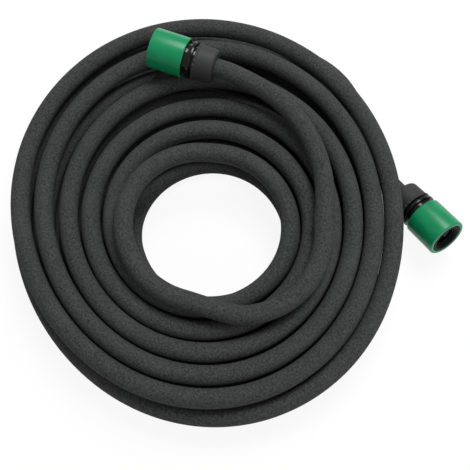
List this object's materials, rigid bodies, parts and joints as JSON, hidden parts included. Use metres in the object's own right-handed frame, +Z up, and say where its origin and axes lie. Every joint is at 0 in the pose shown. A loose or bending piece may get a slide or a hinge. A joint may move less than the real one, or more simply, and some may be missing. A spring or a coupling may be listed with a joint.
{
  "type": "soaker hose",
  "caption": "Porous rubber soaker hose wound in a loose flat coil, with a green quick-connect socket and a black hose nut on each end.",
  "frame": {"origin": "middle of the whole object's footprint, on the surface the coil lies on", "axes": "+Z up out of the coil, +X the way the lower connector's mouth points, give or take 20 degrees, +Y towards the side where the lower end leaves the coil"},
  "size_m": [0.3594, 0.3603, 0.082],
  "materials": {
    "hose": "matt, granular",
    "collar": "glossy",
    "moulding": "satin",
    "claw": "satin",
    "seal": "matt",
    "spring": "bright"
  },
  "bodies": {
    "hose": {"hose_coil": "hose", "upper_hose_end": "hose", "lower_hose_end": "hose", "upper_connector_body": "moulding", "upper_nose_ring": "moulding", "upper_socket_seal": "seal", "upper_return_spring": "spring", "lower_connector_body": "moulding", "lower_nose_ring": "moulding", "lower_socket_seal": "seal", "lower_return_spring": "spring"},
    "upper_collar": {"upper_release_collar": "collar"},
    "upper_claw_1": {"upper_locking_claw_1": "claw"},
    "upper_claw_2": {"upper_locking_claw_2": "claw"},
    "upper_claw_3": {"upper_locking_claw_3": "claw"},
    "upper_claw_4": {"upper_locking_claw_4": "claw"},
    "upper_grip": {"upper_grip_ring": "moulding"},
    "upper_nut": {"upper_hose_nut": "moulding"},
    "lower_collar": {"lower_release_collar": "collar"},
    "lower_claw_1": {"lower_locking_claw_1": "claw"},
    "lower_claw_2": {"lower_locking_claw_2": "claw"},
    "lower_claw_3": {"lower_locking_claw_3": "claw"},
    "lower_claw_4": {"lower_locking_claw_4": "claw"},
    "lower_grip": {"lower_grip_ring": "moulding"},
    "lower_nut": {"lower_hose_nut": "moulding"}
  },
  "joints": [
    {"name": "upper_collar_slide", "type": "slide", "parent": "hose", "child": "upper_collar", "axis": [0.9403, 0.3404, 0], "range_m": [0, 0.0042], "stiffness_N_per_m": 1500, "springref_m": -0.005, "deforming": ["upper_return_spring"]},
    {"name": "upper_claw_1_slide", "type": "slide", "parent": "hose", "child": "upper_claw_1", "axis": [-0.2407, 0.6649, 0.7071], "range_m": [0, 0.001]},
    {"name": "upper_claw_2_slide", "type": "slide", "parent": "hose", "child": "upper_claw_2", "axis": [0.2407, -0.6649, 0.7071], "range_m": [0, 0.001]},
    {"name": "upper_claw_3_slide", "type": "slide", "parent": "hose", "child": "upper_claw_3", "axis": [0.2407, -0.6649, -0.7071], "range_m": [0, 0.001]},
    {"name": "upper_claw_4_slide", "type": "slide", "parent": "hose", "child": "upper_claw_4", "axis": [-0.2407, 0.6649, -0.7071], "range_m": [0, 0.001]},
    {"name": "upper_nut_feed", "type": "slide", "parent": "hose", "child": "upper_grip", "axis": [0.9403, 0.3404, 0], "range_m": [0, 0.0075]},
    {"name": "upper_nut_turn", "type": "hinge", "parent": "upper_grip", "child": "upper_nut", "pos_m": [-0.07577, 0.08031, 0.0648], "axis": [0.9403, 0.3404, 0], "range_deg": [0, 900]},
    {"name": "lower_collar_slide", "type": "slide", "parent": "hose", "child": "lower_collar", "axis": [-0.9095, 0.2781, -0.309], "range_m": [0, 0.0042], "stiffness_N_per_m": 1500, "springref_m": -0.005, "deforming": ["lower_return_spring"]},
    {"name": "lower_claw_1_slide", "type": "slide", "parent": "hose", "child": "lower_claw_1", "axis": [-0.4157, -0.6123, 0.6725], "range_m": [0, 0.001]},
    {"name": "lower_claw_2_slide", "type": "slide", "parent": "hose", "child": "lower_claw_2", "axis": [-0.0022, 0.7401, 0.6725], "range_m": [0, 0.001]},
    {"name": "lower_claw_3_slide", "type": "slide", "parent": "hose", "child": "lower_claw_3", "axis": [0.4157, 0.6123, -0.6725], "range_m": [0, 0.001]},
    {"name": "lower_claw_4_slide", "type": "slide", "parent": "hose", "child": "lower_claw_4", "axis": [0.0022, -0.7401, -0.6725], "range_m": [0, 0.001]},
    {"name": "lower_nut_feed", "type": "slide", "parent": "hose", "child": "lower_grip", "axis": [-0.9095, 0.2781, -0.309], "range_m": [0, 0.0075]},
    {"name": "lower_nut_turn", "type": "hinge", "parent": "lower_grip", "child": "lower_nut", "pos_m": [0.12907, 0.11164, 0.0173], "axis": [-0.9095, 0.2781, -0.309], "range_deg": [0, 900]}
  ],
  "couplings": [
    {"joint": "upper_claw_1_slide", "follows": "upper_collar_slide", "ratio": 0.2381},
    {"joint": "upper_claw_2_slide", "follows": "upper_collar_slide", "ratio": 0.2381},
    {"joint": "upper_claw_3_slide", "follows": "upper_collar_slide", "ratio": 0.2381},
    {"joint": "upper_claw_4_slide", "follows": "upper_collar_slide", "ratio": 0.2381},
    {"joint": "upper_nut_feed", "follows": "upper_nut_turn", "m_per_rad": 0.00047746},
    {"joint": "lower_claw_1_slide", "follows": "lower_collar_slide", "ratio": 0.2381},
    {"joint": "lower_claw_2_slide", "follows": "lower_collar_slide", "ratio": 0.2381},
    {"joint": "lower_claw_3_slide", "follows": "lower_collar_slide", "ratio": 0.2381},
    {"joint": "lower_claw_4_slide", "follows": "lower_collar_slide", "ratio": 0.2381},
    {"joint": "lower_nut_feed", "follows": "lower_nut_turn", "m_per_rad": 0.00047746}
  ]
}
